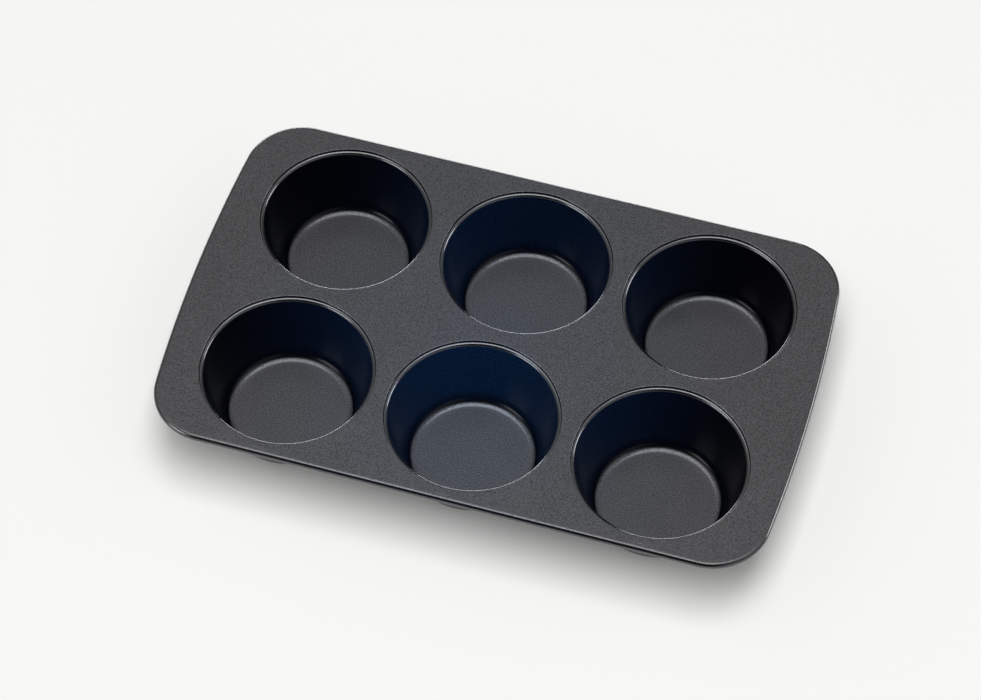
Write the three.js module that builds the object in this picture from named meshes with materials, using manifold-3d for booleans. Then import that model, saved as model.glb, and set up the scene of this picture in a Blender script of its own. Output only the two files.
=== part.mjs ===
// A muffin pan: drawn cups seated and clinched in a flat plate, whose border is rolled round a wire.
// Millimetres, +Z up. The origin is on the table under the middle of the pan, and +X runs along its length.
import * as THREE from "three";
import { mergeVertices } from "three/addons/utils/BufferGeometryUtils.js";
import Module from "manifold-3d";

const wasm = await Module();
wasm.setup();

// Driving dimensions of a cup
const mouthDiameter = 70; // inside, where the wall meets the round of the lip
const cupDepth = 30.2; // from the top of the lip to the floor inside
const wallLean = 14.4; // degrees off upright
const floorRound = 5; // inside radius between wall and floor
const cupSheet = 0.5;
const lipReach = 1.5; // how far the lip rolls out from the mouth
const lipRecess = 1; // how far the lip lies below the plate's top
const foldReach = 1; // how far the locking fold stands out of the wall

// Driving dimensions of the plate and its wire
const columnNames = ["left", "middle", "right"];
const rowNames = ["front", "back"];
const landBetweenCups = 6.8; // flat plate between two neighbouring seats
const endMargin = 16.9; // from an outer seat to the middle of the nearer end
const sideMargin = 6.25; // from a seat to the nearer long side
const cornerRadius = 25; // outside
const endBow = 4.7; // how far the short ends bulge out
const plateSheet = 0.5;
const wireDiameter = 2;
const curlOverlap = 2; // flat strip that joins the border to the plate
const seatOverlap = 1; // flat strip that joins a seat to the plate
const collarLength = 0.5; // straight part of a seat's collar, below its round

// Clearances
const seatGap = 0.1; // between a cup and its seat, all round
const wireGap = 0.1; // between the wire and the curl
const curlGap = 0.3; // between the curl's raw edge and the underside of the plate

// Fineness of the facets
const aroundSteps = 32; // round a cup
const cornerSteps = 7;
const endSteps = 6;
const curlSteps = 10;
const wireSides = 8;
const floorRoundSteps = 3;
const lipSteps = 3;
const mergeDistance = 1e-4; // points closer than this are one point

// Worked out from the driving dimensions
const lean = THREE.MathUtils.degToRad(wallLean);
const upWall = new THREE.Vector2(Math.sin(lean), Math.cos(lean));
const outOfWall = new THREE.Vector2(Math.cos(lean), -Math.sin(lean));
const mouthRadius = mouthDiameter / 2;
const lipRadius = mouthRadius + lipReach;
const lipRound = lipReach / Math.cos(lean); // from the top of the lip down to the wall
const seatRadius = lipRadius + seatGap;
const seatDepth = lipRecess + cupSheet + seatGap; // from the plate's top to the round that carries the lip
const collarRound = lipRound - cupSheet - seatGap;
const pitch = 2 * seatRadius + landBetweenCups;
const lipTop = cupSheet + cupDepth;
const plateTop = lipTop + lipRecess;
const curlInside = wireDiameter / 2 + wireGap;
const beadRadius = curlInside + plateSheet;
const halfLength = ((columnNames.length - 1) * pitch) / 2 + seatRadius + endMargin;
const halfWidth = ((rowNames.length - 1) * pitch) / 2 + seatRadius + sideMargin;

const coating = new THREE.MeshStandardMaterial({ color: 0x47484c, roughness: 0.45, metalness: 0.8 });
const bareSteel = new THREE.MeshStandardMaterial({ color: 0x9a9c9e, roughness: 0.35, metalness: 1 });

// Points along an arc, both ends included; angles in radians.
function arcPoints(centreX, centreY, radius, from, to, steps) {
  const points = [];
  for (let i = 0; i <= steps; i++) {
    const angle = from + ((to - from) * i) / steps;
    points.push(new THREE.Vector2(centreX + radius * Math.cos(angle), centreY + radius * Math.sin(angle)));
  }
  return points;
}

// The same line moved to its right-hand side by the sheet's thickness, with mitred corners.
function besideLine(points, thickness) {
  const rightOf = (a, b) => new THREE.Vector2(b.y - a.y, a.x - b.x).normalize();
  return points.map((point, i) => {
    const before = rightOf(points[Math.max(i - 1, 0)], points[Math.max(i, 1)]);
    const last = points.length - 1;
    const after = rightOf(points[Math.min(i, last - 1)], points[Math.min(i + 1, last)]);
    const mitre = before.clone().add(after);
    return point.clone().addScaledVector(mitre, thickness / (1 + before.dot(after)));
  });
}

// A closed section of sheet metal, anticlockwise, from the sheet's left-hand face.
function sheetSection(face, thickness) {
  return [...besideLine(face, thickness), ...face.toReversed()];
}

// A section in radius and height, turned about the vertical axis.
const upright = new THREE.Matrix4().makeBasis(
  new THREE.Vector3(1, 0, 0),
  new THREE.Vector3(0, 0, 1),
  new THREE.Vector3(0, -1, 0),
);

function turned(section) {
  return new THREE.LatheGeometry(section, aroundSteps).applyMatrix4(upright);
}

function toSolid(geometry) {
  const bare = geometry.clone();
  bare.deleteAttribute("normal");
  bare.deleteAttribute("uv");
  const merged = mergeVertices(bare, mergeDistance);
  const vertProperties = new Float32Array(merged.attributes.position.array);
  const triVerts = new Uint32Array(merged.index.array);
  return new wasm.Manifold(new wasm.Mesh({ numProp: 3, vertProperties, triVerts }));
}

function toGeometry(solid) {
  const { vertProperties, triVerts } = solid.getMesh();
  const geometry = new THREE.BufferGeometry();
  geometry.setAttribute("position", new THREE.BufferAttribute(vertProperties, 3));
  geometry.setIndex(new THREE.BufferAttribute(triVerts, 1));
  geometry.computeVertexNormals();
  return geometry;
}

// Stations along the middle of the rolled border, anticlockwise, each with its outward normal.
function borderStations() {
  const endX = halfLength - beadRadius;
  const sideY = halfWidth - beadRadius;
  const round = cornerRadius - beadRadius;
  const endRadius = (sideY ** 2 + endBow ** 2) / (2 * endBow);
  const endCentre = endX - endRadius;
  const cornerY = sideY - round;
  const cornerX = endCentre + Math.sqrt((endRadius - round) ** 2 - cornerY ** 2);
  const tangent = Math.atan2(cornerY, cornerX - endCentre);
  const half = Math.PI / 2;

  const arcs = [
    { x: endCentre, y: 0, radius: endRadius, from: -tangent, to: tangent, steps: endSteps },
    { x: cornerX, y: cornerY, radius: round, from: tangent, to: half, steps: cornerSteps, whole: true },
    { x: -cornerX, y: cornerY, radius: round, from: half, to: 2 * half - tangent, steps: cornerSteps },
  ];
  const stations = [];
  for (const turn of [0, Math.PI]) {
    for (const arc of arcs) {
      const side = Math.cos(turn);
      const count = arc.whole ? arc.steps : arc.steps - 1; // the next arc starts where this one ends
      for (let i = 0; i <= count; i++) {
        const angle = turn + arc.from + ((arc.to - arc.from) * i) / arc.steps;
        const normal = new THREE.Vector2(Math.cos(angle), Math.sin(angle));
        const place = new THREE.Vector2(side * arc.x, side * arc.y).addScaledVector(normal, arc.radius);
        stations.push({ place, normal });
      }
    }
  }
  return stations;
}

const stations = borderStations();

// A closed section, in distance outwards and height, carried once round the border.
function carriedRound(section) {
  const positions = [];
  const index = [];
  for (const { place, normal } of stations) {
    for (const point of section) {
      const at = place.clone().addScaledVector(normal, point.x);
      positions.push(at.x, at.y, point.y);
    }
  }
  const across = section.length;
  for (let i = 0; i < stations.length; i++) {
    const next = (i + 1) % stations.length;
    for (let j = 0; j < across; j++) {
      const beside = (j + 1) % across;
      const [a, b, c, d] = [i * across + j, next * across + j, next * across + beside, i * across + beside];
      index.push(a, b, c, a, c, d);
    }
  }
  const geometry = new THREE.BufferGeometry();
  geometry.setAttribute("position", new THREE.Float32BufferAttribute(positions, 3));
  geometry.setIndex(index);
  geometry.computeVertexNormals();
  return geometry;
}

// Middles of the cups, row by row.
function cupPlaces() {
  const places = [];
  rowNames.forEach((rowName, row) => {
    columnNames.forEach((columnName, column) => {
      const x = (column - (columnNames.length - 1) / 2) * pitch;
      const y = (row - (rowNames.length - 1) / 2) * pitch;
      places.push({ name: `cup_${rowName}_${columnName}`, x, y });
    });
  });
  return places;
}

// The face of a seat: a collar along the cup's wall, a round under its lip, and a short wall up to the plate.
// The plate's top is at height 0.
function seatFace() {
  const centre = new THREE.Vector2(lipRadius, -lipRecess - lipRound);
  const round = arcPoints(centre.x, centre.y, collarRound, Math.PI - lean, Math.PI / 2, lipSteps);
  return [
    round[0].clone().addScaledVector(upWall, -collarLength),
    ...round,
    new THREE.Vector2(seatRadius, -seatDepth),
    new THREE.Vector2(seatRadius, 0),
    new THREE.Vector2(seatRadius + plateSheet + seatOverlap, 0),
  ];
}

function seatSection() {
  const section = sheetSection(seatFace(), plateSheet);
  return [...section, section[0].clone()];
}

// A drawn cup: floor, leaning wall with a locking fold, and rolled lip. Its base is at height 0.
function cupSection() {
  const floor = cupSheet;
  const lip = arcPoints(lipRadius, lipTop - lipRound, lipRound, Math.PI - lean, Math.PI / 2, lipSteps);
  const wallTop = lip[0];
  const roundHeight = floor + floorRound;
  const wallLength = (wallTop.y + floorRound * upWall.x - roundHeight) / upWall.y;
  const wallFoot = wallTop.clone().addScaledVector(upWall, -wallLength);
  const roundRadius = wallFoot.x - floorRound * outOfWall.x;

  const inside = [
    new THREE.Vector2(0, floor),
    ...arcPoints(roundRadius, roundHeight, floorRound, -Math.PI / 2, -lean, floorRoundSteps),
    ...lip,
  ];
  const outside = besideLine(inside, cupSheet);
  outside[0].x = 0;
  outside.at(-1).set(lipRadius, lipTop - cupSheet);

  // the fold fills the space between the wall and the collar's end, and reaches out under that end
  const outerTop = wallTop.clone().addScaledVector(outOfWall, cupSheet);
  const onWall = (height) => outerTop.x + (height - outerTop.y) * Math.tan(lean);
  const collarFoot = besideLine(seatFace(), plateSheet)[0];
  const foldTop = plateTop + collarFoot.y - seatGap;
  const foldFoot = foldTop - 2 * cupSheet;
  const foldRadius = onWall(foldTop) + foldReach;
  const fold = [
    new THREE.Vector2(onWall(foldFoot), foldFoot),
    new THREE.Vector2(foldRadius, foldFoot),
    new THREE.Vector2(foldRadius, foldTop),
    new THREE.Vector2(onWall(foldTop), foldTop),
  ];
  outside.splice(inside.indexOf(wallTop), 0, ...fold);
  return [...outside, ...inside.toReversed()];
}

// The border: a flat strip and the curl that goes under and round the wire. The plate's top is at height 0.
function curlSection() {
  const start = Math.PI / 2;
  const end = -Math.PI - Math.asin(1 - (plateSheet + curlGap) / beadRadius);
  const face = [
    new THREE.Vector2(-curlOverlap - beadRadius, 0),
    ...arcPoints(0, -beadRadius, beadRadius, start, end, curlSteps),
  ];
  return sheetSection(face, plateSheet);
}

// The plate's flat sheet, pierced where the seats go. Its top is at height 0.
function flatSheet() {
  const edge = stations.map(({ place, normal }) => place.clone().addScaledVector(normal, -plateSheet));
  const shape = new THREE.Shape(edge);
  for (const { x, y } of cupPlaces()) {
    const radius = seatRadius + plateSheet + seatOverlap / 2;
    const hole = arcPoints(x, y, radius, 0, 2 * Math.PI, aroundSteps).slice(0, -1);
    shape.holes.push(new THREE.Path(hole));
  }
  const sheet = new THREE.ExtrudeGeometry(shape, { depth: plateSheet, bevelEnabled: false });
  return sheet.translate(0, 0, -plateSheet);
}

function trayPlate() {
  let plate = toSolid(flatSheet()).add(toSolid(carriedRound(curlSection())));
  const seat = turned(seatSection());
  for (const { x, y } of cupPlaces()) {
    plate = plate.add(toSolid(seat.clone().translate(x, y, 0)));
  }
  const mesh = new THREE.Mesh(toGeometry(plate), coating);
  mesh.name = "tray_plate";
  mesh.position.z = plateTop;
  return mesh;
}

function rimWire() {
  const round = arcPoints(0, -beadRadius, wireDiameter / 2, 0, 2 * Math.PI, wireSides).slice(0, -1);
  const mesh = new THREE.Mesh(carriedRound(round), bareSteel);
  mesh.name = "rim_wire";
  mesh.position.z = plateTop;
  return mesh;
}

function cups() {
  const group = new THREE.Group();
  const shape = turned(cupSection());
  for (const { name, x, y } of cupPlaces()) {
    const mesh = new THREE.Mesh(shape, coating);
    mesh.name = name;
    mesh.position.set(x, y, 0);
    group.add(mesh);
  }
  return group;
}

const pan = new THREE.Group();
pan.add(trayPlate(), rimWire(), cups());

export default pan;
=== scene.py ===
import bmesh
import bpy
import math
from mathutils import Matrix, Quaternion, Vector


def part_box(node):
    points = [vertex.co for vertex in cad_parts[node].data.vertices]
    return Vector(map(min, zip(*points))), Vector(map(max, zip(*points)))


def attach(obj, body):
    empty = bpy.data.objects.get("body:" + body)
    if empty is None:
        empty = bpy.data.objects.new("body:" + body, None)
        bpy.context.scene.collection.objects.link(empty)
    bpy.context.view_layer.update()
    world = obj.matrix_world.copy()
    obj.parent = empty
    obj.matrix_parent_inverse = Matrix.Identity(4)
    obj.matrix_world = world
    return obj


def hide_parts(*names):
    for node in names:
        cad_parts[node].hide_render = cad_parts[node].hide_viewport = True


# A muffin pan: coated steel cups clinched into a plate with a wired border.
# Metres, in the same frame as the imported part: +X along the pan, +Y to the back row, +Z up.

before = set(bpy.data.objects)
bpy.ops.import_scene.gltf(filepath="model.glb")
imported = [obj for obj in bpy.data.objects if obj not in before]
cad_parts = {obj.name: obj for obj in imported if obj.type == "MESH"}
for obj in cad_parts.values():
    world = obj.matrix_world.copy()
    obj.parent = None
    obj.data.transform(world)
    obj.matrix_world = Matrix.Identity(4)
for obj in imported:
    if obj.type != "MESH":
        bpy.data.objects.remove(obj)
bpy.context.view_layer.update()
mm = 0.001
mergeGap = 0.001 * mm
levelGap = 0.01 * mm  # heights closer than this count as level
cupNodes = sorted(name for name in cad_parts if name.startswith("cup_"))
print("frame loaded:", len(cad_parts), "nodes,", len(cupNodes), "cups")


# Modelling helpers

def onlyActive(piece):
    bpy.ops.object.select_all(action="DESELECT")
    piece.select_set(True)
    bpy.context.view_layer.objects.active = piece


def editAll(piece, operator, **settings):
    # one edit-mode operator on the whole mesh
    onlyActive(piece)
    bpy.ops.object.mode_set(mode="EDIT")
    bpy.ops.mesh.select_all(action="SELECT")
    operator(**settings)
    bpy.ops.object.mode_set(mode="OBJECT")


def pick(piece, parts, wanted):
    # in edit mode, selects only the wanted verts, edges or faces
    bpy.ops.mesh.select_all(action="DESELECT")
    shape = bmesh.from_edit_mesh(piece.data)
    for part in getattr(shape, parts):
        if wanted(part):
            part.select = True
    bmesh.update_edit_mesh(piece.data)


def weld(piece):
    editAll(piece, bpy.ops.mesh.remove_doubles, threshold=mergeGap)


def planMiddle(node):
    low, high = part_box(node)
    middle = (low + high) / 2
    return Vector((middle.x, middle.y, 0))


def arcPoints(centre, radius, start, end, steps):
    # points in the x-z plane, angles in radians, both ends included
    angles = [start + (end - start) * i / steps for i in range(steps + 1)]
    return [centre + Vector((radius * math.cos(a), 0, radius * math.sin(a))) for a in angles]


def drawLine(name, points):
    # a plane is collapsed to one vertex, and the line is extruded out of it
    bpy.ops.object.select_all(action="DESELECT")
    bpy.ops.mesh.primitive_plane_add(size=mm)
    line = bpy.context.object
    line.name = line.data.name = name
    bpy.ops.object.mode_set(mode="EDIT")
    bpy.ops.mesh.select_all(action="SELECT")
    bpy.ops.mesh.merge(type="CENTER")
    bpy.ops.transform.translate(value=points[0])
    for start, end in zip(points, points[1:]):
        bpy.ops.mesh.extrude_region_move(TRANSFORM_OT_translate={"value": end - start})
    bpy.ops.object.mode_set(mode="OBJECT")
    weld(line)
    return line


def spinLine(line, steps):
    # the line turns once about the z axis and is welded where it meets itself
    editAll(line, bpy.ops.mesh.spin, steps=steps, angle=math.tau, center=(0, 0, 0), axis=(0, 0, 1))
    weld(line)
    return line


def turnFacesOut(piece):
    editAll(piece, bpy.ops.mesh.normals_make_consistent, inside=False)


def turnFacesUp(piece):
    # one-sided sheet: all faces agree, and the top side counts as the outside
    turnFacesOut(piece)
    if sum(face.area * face.normal.z for face in piece.data.polygons) < 0:
        editAll(piece, bpy.ops.mesh.flip_normals)


def applyModifier(piece, modifier):
    onlyActive(piece)
    bpy.ops.object.modifier_apply(modifier=modifier.name)


def thicken(piece, sheet):
    wall = piece.modifiers.new("wall", "SOLIDIFY")
    wall.thickness = sheet
    wall.offset = -1
    wall.use_even_offset = True
    wall.use_quality_normals = True
    applyModifier(piece, wall)


def roundEdges(piece, width, segments, angle):
    edges = piece.modifiers.new("edges", "BEVEL")
    edges.width = width
    edges.segments = segments
    edges.limit_method = "ANGLE"
    edges.angle_limit = angle
    edges.use_clamp_overlap = True
    applyModifier(piece, edges)


def copyTo(piece, name, place):
    onlyActive(piece)
    bpy.ops.object.duplicate(linked=False)
    copy = bpy.context.object
    copy.name = copy.data.name = name
    copy.location = place
    bpy.ops.object.transform_apply(location=True, rotation=False, scale=False)
    return copy


smoothAngle = math.radians(32)  # edges sharper than this stay sharp in the shading


def finishPiece(piece, node, material):
    onlyActive(piece)
    bpy.ops.object.shade_smooth_by_angle(angle=smoothAngle)
    piece.data.materials.clear()
    piece.data.materials.append(material)
    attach(piece, "root")
    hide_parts(node)
    print("piece done:", piece.name, len(piece.data.polygons), "faces")


# Camera, from the photograph's view

cameraSet = {
    "target": Vector((-1.9, -7.25, 31.7)) * mm,
    "azimuth": 16.58,  # degrees to the right of the pan's front
    "elevation": 56.39,
    "roll": -0.18,
    "distance": 1506.6 * mm,
    "lens": 132.95,
    "sensor": 36.0,
    "reach": 20.0,
}


def makeCamera():
    azimuth = math.radians(cameraSet["azimuth"])
    elevation = math.radians(cameraSet["elevation"])
    away = Vector((
        math.sin(azimuth) * math.cos(elevation),
        -math.cos(azimuth) * math.cos(elevation),
        math.sin(elevation),
    ))
    bpy.ops.object.camera_add(location=cameraSet["target"] + away * cameraSet["distance"])
    camera = bpy.context.object
    camera.name = "photo_camera"
    roll = Quaternion((0, 0, 1), math.radians(cameraSet["roll"]))
    camera.rotation_euler = (away.to_track_quat("Z", "Y") @ roll).to_euler()
    camera.data.lens = cameraSet["lens"]
    camera.data.sensor_width = cameraSet["sensor"]
    camera.data.sensor_fit = "HORIZONTAL"
    camera.data.clip_end = cameraSet["reach"]
    bpy.context.scene.camera = camera


makeCamera()
print("camera placed")


# Node helpers

mixSockets = {"first": 6, "second": 7, "result": 2}  # a Mix node's colour sockets


def feed(tree, node, inputs):
    # inputs by name or number, each a plain value or the output that drives it
    for key, value in inputs.items():
        if isinstance(value, bpy.types.NodeSocket):
            tree.links.new(value, node.inputs[key])
        else:
            node.inputs[key].default_value = value


def addNode(tree, kind, inputs, **settings):
    node = tree.nodes.new(kind)
    for name, value in settings.items():
        setattr(node, name, value)
    feed(tree, node, inputs)
    return node


def calc(tree, operation, *values):
    inputs = dict(enumerate(values))
    return addNode(tree, "ShaderNodeMath", inputs, operation=operation).outputs[0]


def ramp(tree, value, span, ends, kind="SMOOTHSTEP"):
    # goes from one end to the other while the value crosses the span
    inputs = {
        "Value": value,
        "From Min": span[0],
        "From Max": span[1],
        "To Min": ends[0],
        "To Max": ends[1],
    }
    return addNode(tree, "ShaderNodeMapRange", inputs, interpolation_type=kind).outputs["Result"]


def mixColours(tree, amount, first, second):
    # first and second are colours, or outputs that carry one
    inputs = {"Factor": amount}
    for key, value in (("first", first), ("second", second)):
        inputs[mixSockets[key]] = (*value, 1.0) if isinstance(value, tuple) else value
    mix = addNode(tree, "ShaderNodeMix", inputs, data_type="RGBA")
    return mix.outputs[mixSockets["result"]]


def objectPlace(tree):
    return tree.nodes.new("ShaderNodeTexCoord").outputs["Object"]


def splitPlace(tree, place):
    return addNode(tree, "ShaderNodeSeparateXYZ", {0: place}).outputs


def newGroup(name, inputs, outputs):
    group = bpy.data.node_groups.new(name, "ShaderNodeTree")
    for direction, sockets in (("INPUT", inputs), ("OUTPUT", outputs)):
        for socket in sockets:
            group.interface.new_socket(socket, in_out=direction, socket_type="NodeSocketFloat")
    return group


def newMaterial(name):
    material = bpy.data.materials.new(name)
    material.use_nodes = True
    return material, material.node_tree, material.node_tree.nodes["Principled BSDF"]


# The dark coat that plate and cups share

grainSet = {
    "fine": 1900.0,  # noise cells per metre, about the size of the coat's metal flakes
    "fineDetail": 2.0,
    "cloud": 55.0,  # slow unevenness of the coat
    "cloudDetail": 3.0,
    "middle": 0.5,  # the noise swings about this
}
blueLightSet = {
    "centre": Vector((-6, -10, 0)) * mm,  # painted blue light, strongest between the middle cups
    "reach": Vector((120, 150, 1000)) * mm,
}
coatLook = {
    "colour": (0.092, 0.093, 0.097),
    "blueLightColour": (0.091, 0.100, 0.118),
    "metal": 0.65,
    "roughness": 0.17,
    "glossSpread": 0.03,
    "specular": 0.25,
    "speckle": 2.6,
    "cloud": 0.10,
    "bump": 0.2,
    "bumpHeight": 0.01 * mm,
    "edge": (0.118, 0.119, 0.124),  # painted sheen: lighter and all metal on the rolled edges, so their highlights come out brighter
    "blueLightEdge": (0.117, 0.127, 0.148),
    "edgeSpeckle": 1.0,
}


def coatGrainGroup():
    # fine speckle and slow unevenness of a sprayed coat
    group = newGroup("coatGrain", ("Speckle", "Cloud"), ("Shade", "Gloss", "Height"))
    strength = group.nodes.new("NodeGroupInput").outputs
    place = objectPlace(group)

    def noise(cells, detail):
        inputs = {"Vector": place, "Scale": cells, "Detail": detail}
        return addNode(group, "ShaderNodeTexNoise", inputs).outputs["Fac"]

    def swing(value, amount):
        return calc(group, "MULTIPLY", calc(group, "SUBTRACT", value, grainSet["middle"]), amount)

    flakes = noise(grainSet["fine"], grainSet["fineDetail"])
    drift = noise(grainSet["cloud"], grainSet["cloudDetail"])
    both = calc(group, "ADD", swing(flakes, strength["Speckle"]), swing(drift, strength["Cloud"]))
    shade = calc(group, "ADD", both, 1.0)
    addNode(group, "NodeGroupOutput", {"Shade": shade, "Gloss": drift, "Height": flakes})
    return group


def paintedBlueLightGroup():
    # how strongly the painted blue light shows, 1 at the centre and 0 at the reach
    group = newGroup("paintedBlueLight", (), ("Cast",))
    value = objectPlace(group)
    for operation, setting in (("SUBTRACT", "centre"), ("DIVIDE", "reach")):
        inputs = {0: value, 1: blueLightSet[setting]}
        value = addNode(group, "ShaderNodeVectorMath", inputs, operation=operation).outputs[0]
    distance = addNode(group, "ShaderNodeVectorMath", {0: value}, operation="LENGTH")
    blueLight = ramp(group, distance.outputs["Value"], (0.0, 1.0), (1.0, 0.0))
    addNode(group, "NodeGroupOutput", {"Cast": blueLight})
    return group


coatGrain = coatGrainGroup()
paintedBlueLight = paintedBlueLightGroup()


def coatMaterial(name, look, makeBowlMasks=None):
    material, tree, shader = newMaterial(name)
    # painted blue light: the coat is tinted bluer towards the middle cups
    blueLight = addNode(tree, "ShaderNodeGroup", {}, node_tree=paintedBlueLight).outputs["Cast"]
    colour = mixColours(tree, blueLight, look["colour"], look["blueLightColour"])
    metal = look["metal"]
    if makeBowlMasks:
        # the inside of a cup, painted shade: a darker grey on the floor, and matt walls that are
        # almost black
        wall, bowl, upper = makeBowlMasks(tree)
        wallBlueLight = calc(tree, "MULTIPLY", blueLight, upper)
        shadedFloorColour = mixColours(tree, blueLight, look["floor"], look["blueLightFloor"])
        shadedWallColour = mixColours(tree, wallBlueLight, look["wall"], look["blueLightWall"])
        colour = mixColours(tree, bowl, colour, shadedFloorColour)
        colour = mixColours(tree, wall, colour, shadedWallColour)
        metal = calc(tree, "MULTIPLY_ADD", wall, -metal, metal)

    # rolled edges, told by their height, get a lighter all-metal coat: painted sheen
    edge = ramp(tree, splitPlace(tree, objectPlace(tree))["Z"], look["edgeHeights"], (0.0, 1.0))
    sheenEdgeColour = mixColours(tree, blueLight, look["edge"], look["blueLightEdge"])
    colour = mixColours(tree, edge, colour, sheenEdgeColour)
    metal = calc(tree, "MULTIPLY_ADD", edge, 1 - look["metal"], metal)
    lessSpeckle = look["edgeSpeckle"] - look["speckle"]
    speckle = calc(tree, "MULTIPLY_ADD", edge, lessSpeckle, look["speckle"])

    # grain over all of it
    strength = {"Speckle": speckle, "Cloud": look["cloud"]}
    grain = addNode(tree, "ShaderNodeGroup", strength, node_tree=coatGrain).outputs
    tone = addNode(
        tree, "ShaderNodeVectorMath", {0: colour, "Scale": grain["Shade"]}, operation="SCALE")
    gloss = (look["roughness"] - look["glossSpread"], look["roughness"] + look["glossSpread"])
    roughness = ramp(tree, grain["Gloss"], (0.0, 1.0), gloss, "LINEAR")
    if makeBowlMasks:
        duller = look["bowlRoughness"] - look["roughness"]
        roughness = calc(tree, "MULTIPLY_ADD", bowl, duller, roughness)
    bump = addNode(tree, "ShaderNodeBump", {
        "Strength": look["bump"],
        "Distance": look["bumpHeight"],
        "Height": grain["Height"],
    })
    feed(tree, shader, {
        "Base Color": tone.outputs[0],
        "Metallic": metal,
        "Roughness": roughness,
        "Specular IOR Level": look["specular"],
        "Normal": bump.outputs["Normal"],
    })
    return material


print("coat ready")


# Cups: the inside face is drawn as a line, spun, and given the sheet's thickness

cupSet = {
    "mouth": 35.0 * mm,  # inside radius, where the wall meets the round of the lip
    "lean": math.radians(14.4),
    "floorRound": 5.0 * mm,
    "sheet": 0.5 * mm,
    "lipReach": 1.5 * mm,
    "foldTop": 0.76 * mm,  # locking fold, down the wall from the round of the lip
    "foldHeight": 1.03 * mm,
    "foldReach": 1.0 * mm,
    "support": 1.2 * mm,  # spacing of the extra rings beside a round
    "edgeRound": 0.12 * mm,
    "edgeSegments": 3,
    "edgeAngle": math.radians(40),
    "lipSteps": 14,
    "floorSteps": 16,
    "around": 160,
}
cupLook = dict(
    coatLook,
    # painted shade: the floor of a cup is a darker grey than the plate
    floor=(0.081, 0.082, 0.087),
    blueLightFloor=(0.084, 0.096, 0.116),
    wall=(0.0006, 0.001, 0.0025),  # painted shade: the drawn walls are made matt and almost black
    blueLightWall=(0.0042, 0.0205, 0.068),
    wallFoot=(0.65 * mm, 1.3 * mm),  # heights where the wall's painted shade begins
    blueLightFoot=(0.5 * mm, 7.0 * mm),  # heights where the painted blue light on the wall begins
    edgeHeights=(29.7 * mm, 30.2 * mm),  # heights where the lip's painted sheen begins
    bowlRoughness=0.20,  # inside of the cup, below the lip
    wallBlur=0.1 * mm,
    pitch=80.0 * mm,
)


def upWall():
    return Vector((math.sin(cupSet["lean"]), 0, math.cos(cupSet["lean"])))


def lipRadius():
    return cupSet["lipReach"] / math.cos(cupSet["lean"])


def lipArc(lipTop, radius, steps):
    # round of the lip from the wall up to its outer edge; a smaller radius follows it underneath
    centre = Vector((cupSet["mouth"] + cupSet["lipReach"], 0, lipTop - lipRadius()))
    return arcPoints(centre, radius, math.pi - cupSet["lean"], math.pi / 2, steps)


def cupLine(lipTop):
    sheet, floorRound = cupSet["sheet"], cupSet["floorRound"]
    up = upWall()
    lip = lipArc(lipTop, lipRadius(), cupSet["lipSteps"])
    roundHeight = sheet + floorRound
    wallLength = (lip[0].z + floorRound * up.x - roundHeight) / up.z
    wallFoot = lip[0] - up * wallLength
    centre = Vector((wallFoot.x - floorRound * up.z, 0, roundHeight))
    floorArc = arcPoints(
        centre, floorRound, -math.pi / 2, -cupSet["lean"], cupSet["floorSteps"])
    foldTop = lip[0] - up * cupSet["foldTop"]
    return [
        Vector((0, 0, sheet)),
        floorArc[0] - Vector((cupSet["support"], 0, 0)),
        *floorArc,
        floorArc[-1] + up * cupSet["support"],
        foldTop - up * cupSet["foldHeight"],
        foldTop,
        *lip,
    ]


def rollFold(cup, line):
    # the band of outside faces under the plate is pulled out of the wall
    foldFoot, foldTop = line[-cupSet["lipSteps"] - 3], line[-cupSet["lipSteps"] - 2]
    drop = cupSet["sheet"] * math.sin(cupSet["lean"])

    def inBand(face):
        height = face.calc_center_median().z
        return foldFoot.z - drop < height < foldTop.z - drop and face.normal.z < 0

    onlyActive(cup)
    bpy.ops.object.mode_set(mode="EDIT")
    pick(cup, "faces", inBand)
    bpy.ops.mesh.extrude_region_shrink_fatten(
        TRANSFORM_OT_shrink_fatten={"value": cupSet["foldReach"]})
    bpy.ops.object.mode_set(mode="OBJECT")


def cupMasks(tree):
    # masks of the wall's inside, the whole bowl, and the wall above its foot
    x, y, z = splitPlace(tree, objectPlace(tree))
    half = cupLook["pitch"] / 2
    across = calc(tree, "WRAP", x, half, -half)
    along = calc(tree, "SUBTRACT", calc(tree, "WRAP", y, 2 * half, 0.0), half)
    squares = [calc(tree, "MULTIPLY", side, side) for side in (across, along)]
    radius = calc(tree, "SQRT", calc(tree, "ADD", *squares))
    # inside and outside are told apart by the distance to the cup's axis
    slope = math.tan(cupSet["lean"])
    wallTop = lipArc(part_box(cupNodes[0])[1].z, lipRadius(), 1)[0]
    middleAtFoot = wallTop.x - wallTop.z * slope + cupSet["sheet"] / 2
    middle = calc(tree, "MULTIPLY_ADD", z, slope, middleAtFoot)
    blur = (-cupLook["wallBlur"], cupLook["wallBlur"])
    inside = ramp(tree, calc(tree, "SUBTRACT", radius, middle), blur, (1.0, 0.0))
    belowLip = ramp(tree, z, cupLook["edgeHeights"], (1.0, 0.0))
    bowl = calc(tree, "MULTIPLY", inside, belowLip)
    # painted shade: the wall mask, where the coat is made matt and almost black
    wall = calc(tree, "MULTIPLY", bowl, ramp(tree, z, cupLook["wallFoot"], (0.0, 1.0)))
    return wall, bowl, ramp(tree, z, cupLook["blueLightFoot"], (0.0, 1.0))


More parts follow.
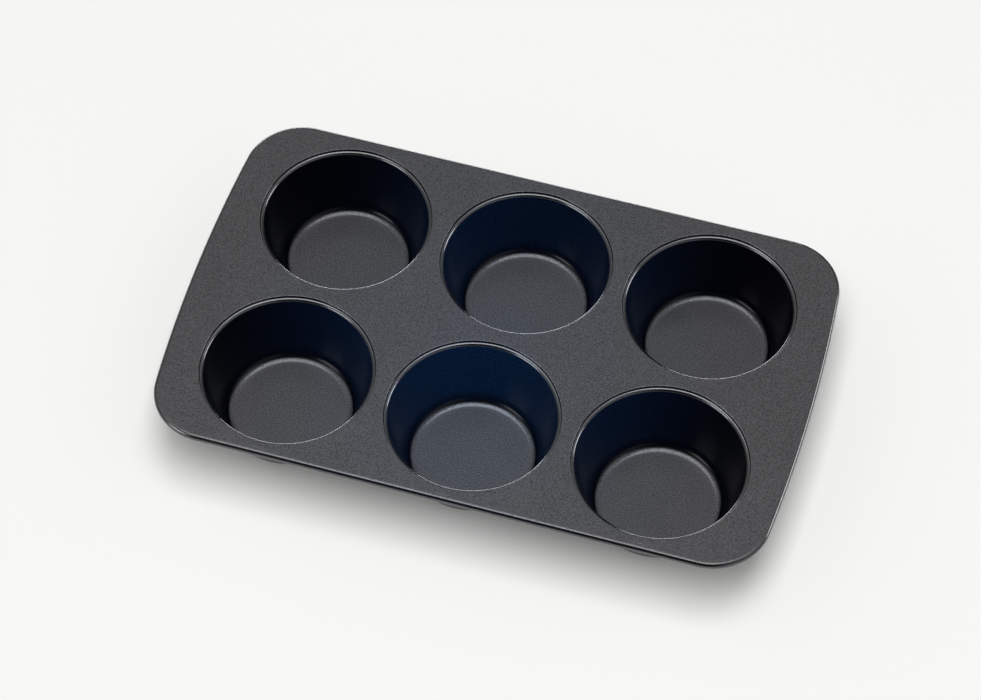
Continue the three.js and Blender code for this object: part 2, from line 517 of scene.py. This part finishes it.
def makeCups():
    coat = coatMaterial("cup_coat", cupLook, cupMasks)
    line = cupLine(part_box(cupNodes[0])[1].z)
    cup = spinLine(drawLine("muffin_cup", line), cupSet["around"])
    turnFacesUp(cup)
    thicken(cup, cupSet["sheet"])
    rollFold(cup, line)
    roundEdges(cup, cupSet["edgeRound"], cupSet["edgeSegments"], cupSet["edgeAngle"])
    for node in cupNodes:
        copy = copyTo(cup, node.replace("cup_", "muffin_cup_"), planMiddle(node))
        finishPiece(copy, node, coat)
    bpy.data.objects.remove(cup)


makeCups()


# Plate: rolled border, pressed seats and flat sheet, joined as one sheet and then thickened

plateSet = {
    "sheet": 0.5 * mm,
    "bead": 1.6 * mm,  # outside radius of the rolled border
    "cornerRound": 25.0 * mm,
    "endBow": 4.7 * mm,  # how far the short ends bulge
    "curlGap": 0.3 * mm,  # between the curl's raw edge and the plate
    "edgeStrip": 0.6 * mm,  # flat strips beside the border and beside each seat
    "seatStrip": 1.0 * mm,
    "seatGap": 0.1 * mm,  # between a cup and its seat
    "seatRound": 0.35 * mm,  # top edge of the seat
    "collar": 0.5 * mm,  # straight end of the seat, along the cup's wall
    "endSteps": 36,
    "cornerSteps": 24,
    "curlSteps": 30,
    "seatSteps": (8, 4, 12),  # top edge, foot, and under the lip
    "around": 160,
}
creaseSet = {  # faint pressing creases between the front cups and the edge
    "inset": 3.5 * mm,
    "length": 13.0 * mm,
    "width": 2.2 * mm,
    "cells": (40, 12),
    "rise": 0.007 * mm,  # of each step
    "steps": (0.75, 0.55, 0.35),  # share of the patch that each step lifts
    "crest": 2 / 3,  # the ridge is narrower than the patch
    "smoothing": 0.5,
    "rounds": 4,
}
plateLook = dict(
    coatLook,
    edgeHeights=(31.69 * mm, 31.60 * mm),  # all that lies below the flat top
)


def borderLine(top):
    # middle of the rolled border, anticlockwise, with bowed ends and round corners
    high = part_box("tray_plate")[1]
    bead, bow = plateSet["bead"], plateSet["endBow"]
    endX, sideY = high.x - bead, high.y - bead
    cornerRound = plateSet["cornerRound"] - bead
    endRadius = (sideY ** 2 + bow ** 2) / (2 * bow)
    endCentre = endX - endRadius
    cornerY = sideY - cornerRound
    cornerX = endCentre + math.sqrt((endRadius - cornerRound) ** 2 - cornerY ** 2)
    tangent = math.atan2(cornerY, cornerX - endCentre)
    quarter = math.pi / 2
    endSteps, cornerSteps = plateSet["endSteps"], plateSet["cornerSteps"]
    arcs = (
        (endCentre, 0, endRadius, -tangent, tangent, endSteps),
        (cornerX, cornerY, cornerRound, tangent, quarter, cornerSteps),
        (-cornerX, cornerY, cornerRound, quarter, math.pi - tangent, cornerSteps),
    )
    points = []
    for side, turn in ((1, 0), (-1, math.pi)):
        for x, y, radius, start, end, steps in arcs:
            for i in range(steps + 1):
                angle = turn + start + (end - start) * i / steps
                points.append(Vector((
                    side * x + radius * math.cos(angle),
                    side * y + radius * math.sin(angle),
                    top - bead,
                )))
    return points + points[:1]


def toCurve(line):
    onlyActive(line)
    bpy.ops.object.convert(target="CURVE")
    return bpy.context.object


def sweptAlong(path, name, profile=None, depth=0, steps=0):
    # the border line becomes a curve that carries a profile or a round section
    line = toCurve(drawLine(name, path))
    line.data.dimensions = "3D"
    line.data.twist_mode = "Z_UP"
    line.data.use_fill_caps = False
    if profile:
        line.data.bevel_mode = "OBJECT"
        line.data.bevel_object = profile
    else:
        line.data.bevel_depth = depth
        line.data.bevel_resolution = steps
    onlyActive(line)
    bpy.ops.object.convert(target="MESH")
    swept = bpy.context.object
    weld(swept)
    return swept


def curlProfile():
    # outside face of the border: flat strip, over the wire and back under the plate
    bead = plateSet["bead"]
    end = -math.pi - math.asin(1 - (plateSet["sheet"] + plateSet["curlGap"]) / bead)
    arc = arcPoints(Vector((0, 0, 0)), bead, math.pi / 2, end, plateSet["curlSteps"])
    face = [Vector((-plateSet["edgeStrip"], 0, bead))] + arc
    return toCurve(drawLine("curl_profile", [Vector((p.x, p.z, 0)) for p in face]))


def seatLine(top, lipTop):
    # top edge, short wall, and a round that follows the underside of the cup's lip
    gap, bend = plateSet["seatGap"], plateSet["seatRound"]
    topSteps, footSteps, lipSteps = plateSet["seatSteps"]
    quarter = math.pi / 2
    seat = cupSet["mouth"] + cupSet["lipReach"] + gap
    carry = lipRadius() - cupSet["sheet"] - gap
    underLip = lipArc(lipTop, carry, lipSteps)[::-1]
    topCentre = Vector((seat + bend, 0, top - bend))
    footCentre = underLip[0] + Vector((0, 0, gap))
    return [
        Vector((seat + bend + plateSet["seatStrip"], 0, top)),
        *arcPoints(topCentre, bend, quarter, math.pi, topSteps),
        *arcPoints(footCentre, gap, 0, -quarter, footSteps),
        *underLip[1:],
        underLip[-1] - upWall() * plateSet["collar"],
    ]


def makeCrease(x, y, top):
    # a patch of the flat sheet with a low ridge that dies out towards its ends
    halfLength = creaseSet["length"] / 2
    halfCrest = creaseSet["width"] / 2 * creaseSet["crest"]
    columns, rows = creaseSet["cells"]
    bpy.ops.object.select_all(action="DESELECT")
    bpy.ops.mesh.primitive_grid_add(
        x_subdivisions=columns, y_subdivisions=rows, size=1, location=(x, y, top))
    crease = bpy.context.object
    crease.name = "crease"
    crease.scale = (creaseSet["length"], creaseSet["width"], 1)
    bpy.ops.object.transform_apply(location=True, rotation=False, scale=True)
    bpy.ops.object.mode_set(mode="EDIT")
    for share in creaseSet["steps"]:
        pick(crease, "verts", lambda vert: (
            abs(vert.co.x - x) < share * halfLength and abs(vert.co.y - y) < share * halfCrest))
        bpy.ops.transform.translate(value=(0, 0, creaseSet["rise"]))
    pick(crease, "verts", lambda vert: not vert.is_boundary)
    bpy.ops.mesh.vertices_smooth(factor=creaseSet["smoothing"], repeat=creaseSet["rounds"])
    bpy.ops.object.mode_set(mode="OBJECT")
    return crease


def fillFlat(plate, top):
    # the flat sheet is filled in between the border's strip and the strips round the seats
    def rim(edge):
        return edge.is_boundary and all(abs(vert.co.z - top) < levelGap for vert in edge.verts)

    onlyActive(plate)
    bpy.ops.object.mode_set(mode="EDIT")
    bpy.ops.mesh.select_mode(type="EDGE")
    pick(plate, "edges", rim)
    bpy.ops.mesh.fill(use_beauty=True)
    bpy.ops.mesh.select_mode(type="VERT")
    bpy.ops.object.mode_set(mode="OBJECT")


def makePlate():
    coat = coatMaterial("plate_coat", plateLook)
    low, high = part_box("tray_plate")
    path = borderLine(high.z)
    profile = curlProfile()
    plate = sweptAlong(path, "pan_plate", profile)
    bpy.data.objects.remove(profile)
    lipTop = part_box(cupNodes[0])[1].z
    seat = spinLine(drawLine("seat", seatLine(high.z, lipTop)), plateSet["around"])
    patches = [copyTo(seat, "seat_copy", planMiddle(node)) for node in cupNodes]
    bpy.data.objects.remove(seat)
    for node in cupNodes:
        if "front" in node:
            patches.append(makeCrease(planMiddle(node).x, low.y + creaseSet["inset"], high.z))
    onlyActive(plate)
    for patch in patches:
        patch.select_set(True)
    bpy.ops.object.join()
    fillFlat(plate, high.z)
    turnFacesUp(plate)
    thicken(plate, plateSet["sheet"])
    finishPiece(plate, "tray_plate", coat)
    return path


borderPath = makePlate()


# Wire inside the rolled border

wireSet = {
    "radius": 1.0 * mm,
    "steps": 5,  # round the section
    "colour": (0.32, 0.32, 0.33, 1.0),
    "roughness": (0.24, 0.40),  # a little uneven in gloss along the wire
    "draw": 900.0,  # noise cells per metre
}


def makeWire():
    material, tree, shader = newMaterial("drawn_wire")
    inputs = {"Vector": objectPlace(tree), "Scale": wireSet["draw"]}
    noise = addNode(tree, "ShaderNodeTexNoise", inputs)
    roughness = ramp(tree, noise.outputs["Fac"], (0.0, 1.0), wireSet["roughness"], "LINEAR")
    feed(tree, shader, {
        "Base Color": wireSet["colour"],
        "Metallic": 1.0,
        "Roughness": roughness,
    })
    wire = sweptAlong(borderPath, "border_wire", depth=wireSet["radius"], steps=wireSet["steps"])
    turnFacesOut(wire)
    finishPiece(wire, "rim_wire", material)


makeWire()


# Studio: pale floor, one softbox for the floor and the shadow, and cards for the coat to mirror

studioSet = {
    "floorSize": 6.0,
    "floorGap": 0.02 * mm,
    "floorColour": (0.86, 0.86, 0.85, 1.0),
    "floorRoughness": 0.9,
    "floorSpecular": 0.0,
    "floorGlow": (0.115, 0.115, 0.111, 1.0),  # paleness that no shadow takes away
    "worldColour": (1.0, 1.0, 1.0, 1.0),
    "worldMiddle": 0.045,  # dim in front of and behind the pan, brighter to its left and right
    "worldSide": 0.39,
    "worldTurn": (0.25, 0.65),
    "worldSeen": 0.9,  # pale for the camera alone
    "aim": Vector((0, 0, 0.03)),
    "overhead": 0.9,  # lamps higher than this have their height along Y, others stand upright
}
# each lamp: direction from the pan, distance, width and height, brightness of its face
keyLight = (Vector((0.02, -0.11, 1)), 3.0, (1.65, 3.0), 5.35)
cards = {  # seen in the coat, they throw no light on the floor
    "top_card": (Vector((-0.08, 0.055, 1)), 1.2, (0.82, 0.76), 2.4),
    "top_scrim": (Vector((0, 0.085, 1)), 1.25, (2.5, 0.79), 0.65),
    "front_left_card": (Vector((-0.64, -0.60, 0.48)), 1.6, (0.70, 0.70), 3.0),
    "right_card": (Vector((0.84, 0.48, 0.30)), 2.0, (0.75, 0.70), 5.0),
    "back_left_strip": (Vector((-0.3705, 0.917, 0.088)), 1.8, (1.6, 0.32), 10.0),
    "back_card": (Vector((0.02, 0.60, 0.80)), 1.7, (1.9, 0.9), 0.54),
}


def floorMaterial():
    material, tree, shader = newMaterial("pale_floor")
    path = tree.nodes.new("ShaderNodeLightPath").outputs
    feed(tree, shader, {
        "Base Color": studioSet["floorColour"],
        "Roughness": studioSet["floorRoughness"],
        "Specular IOR Level": studioSet["floorSpecular"],
        "Emission Color": studioSet["floorGlow"],
        "Emission Strength": calc(tree, "MAXIMUM", path["Is Camera Ray"], path["Is Glossy Ray"]),
    })
    # clear from below, so that the underside can be looked at
    either = addNode(tree, "ShaderNodeMixShader", {
        "Fac": tree.nodes.new("ShaderNodeNewGeometry").outputs["Backfacing"],
        1: shader.outputs["BSDF"],
        2: tree.nodes.new("ShaderNodeBsdfTransparent").outputs["BSDF"],
    })
    feed(tree, tree.nodes["Material Output"], {"Surface": either.outputs["Shader"]})
    return material


def makeFloor():
    bpy.ops.object.select_all(action="DESELECT")
    bpy.ops.mesh.primitive_plane_add(
        size=studioSet["floorSize"], location=(0, 0, -studioSet["floorGap"]))
    floor = bpy.context.object
    floor.name = "studio_floor"
    floor.data.materials.append(floorMaterial())


def makeWorld():
    world = bpy.data.worlds.new("studio")
    bpy.context.scene.world = world
    world.use_nodes = True
    tree = world.node_tree
    place = tree.nodes.new("ShaderNodeTexCoord").outputs["Generated"]
    aside = calc(tree, "ABSOLUTE", splitPlace(tree, place)["X"])
    levels = (studioSet["worldMiddle"], studioSet["worldSide"])
    light = ramp(tree, aside, studioSet["worldTurn"], levels)
    path = tree.nodes.new("ShaderNodeLightPath").outputs
    seen = calc(tree, "MULTIPLY", path["Is Camera Ray"], studioSet["worldSeen"])
    feed(tree, tree.nodes["Background"], {
        "Color": studioSet["worldColour"],
        "Strength": calc(tree, "MAXIMUM", light, seen),
    })


def makeLamp(name, direction, distance, size, face):
    away = direction.normalized()
    bpy.ops.object.light_add(type="AREA", location=studioSet["aim"] + away * distance)
    lamp = bpy.context.object
    lamp.name = name
    level = Vector((0, 1, 0)) if away.z > studioSet["overhead"] else Vector((0, 0, 1))
    across = level.cross(away).normalized()
    lamp.rotation_euler = Matrix((across, away.cross(across), away)).transposed().to_euler()
    lamp.data.shape = "RECTANGLE"
    lamp.data.size, lamp.data.size_y = size
    lamp.data.energy = face * math.pi * size[0] * size[1]
    lamp.visible_camera = False
    return lamp


makeFloor()
makeWorld()
makeLamp("key_softbox", *keyLight).visible_glossy = False
for cardName, card in cards.items():
    makeLamp(cardName, *card).visible_diffuse = False
bpy.context.scene.view_settings.view_transform = "Standard"
print("studio set")
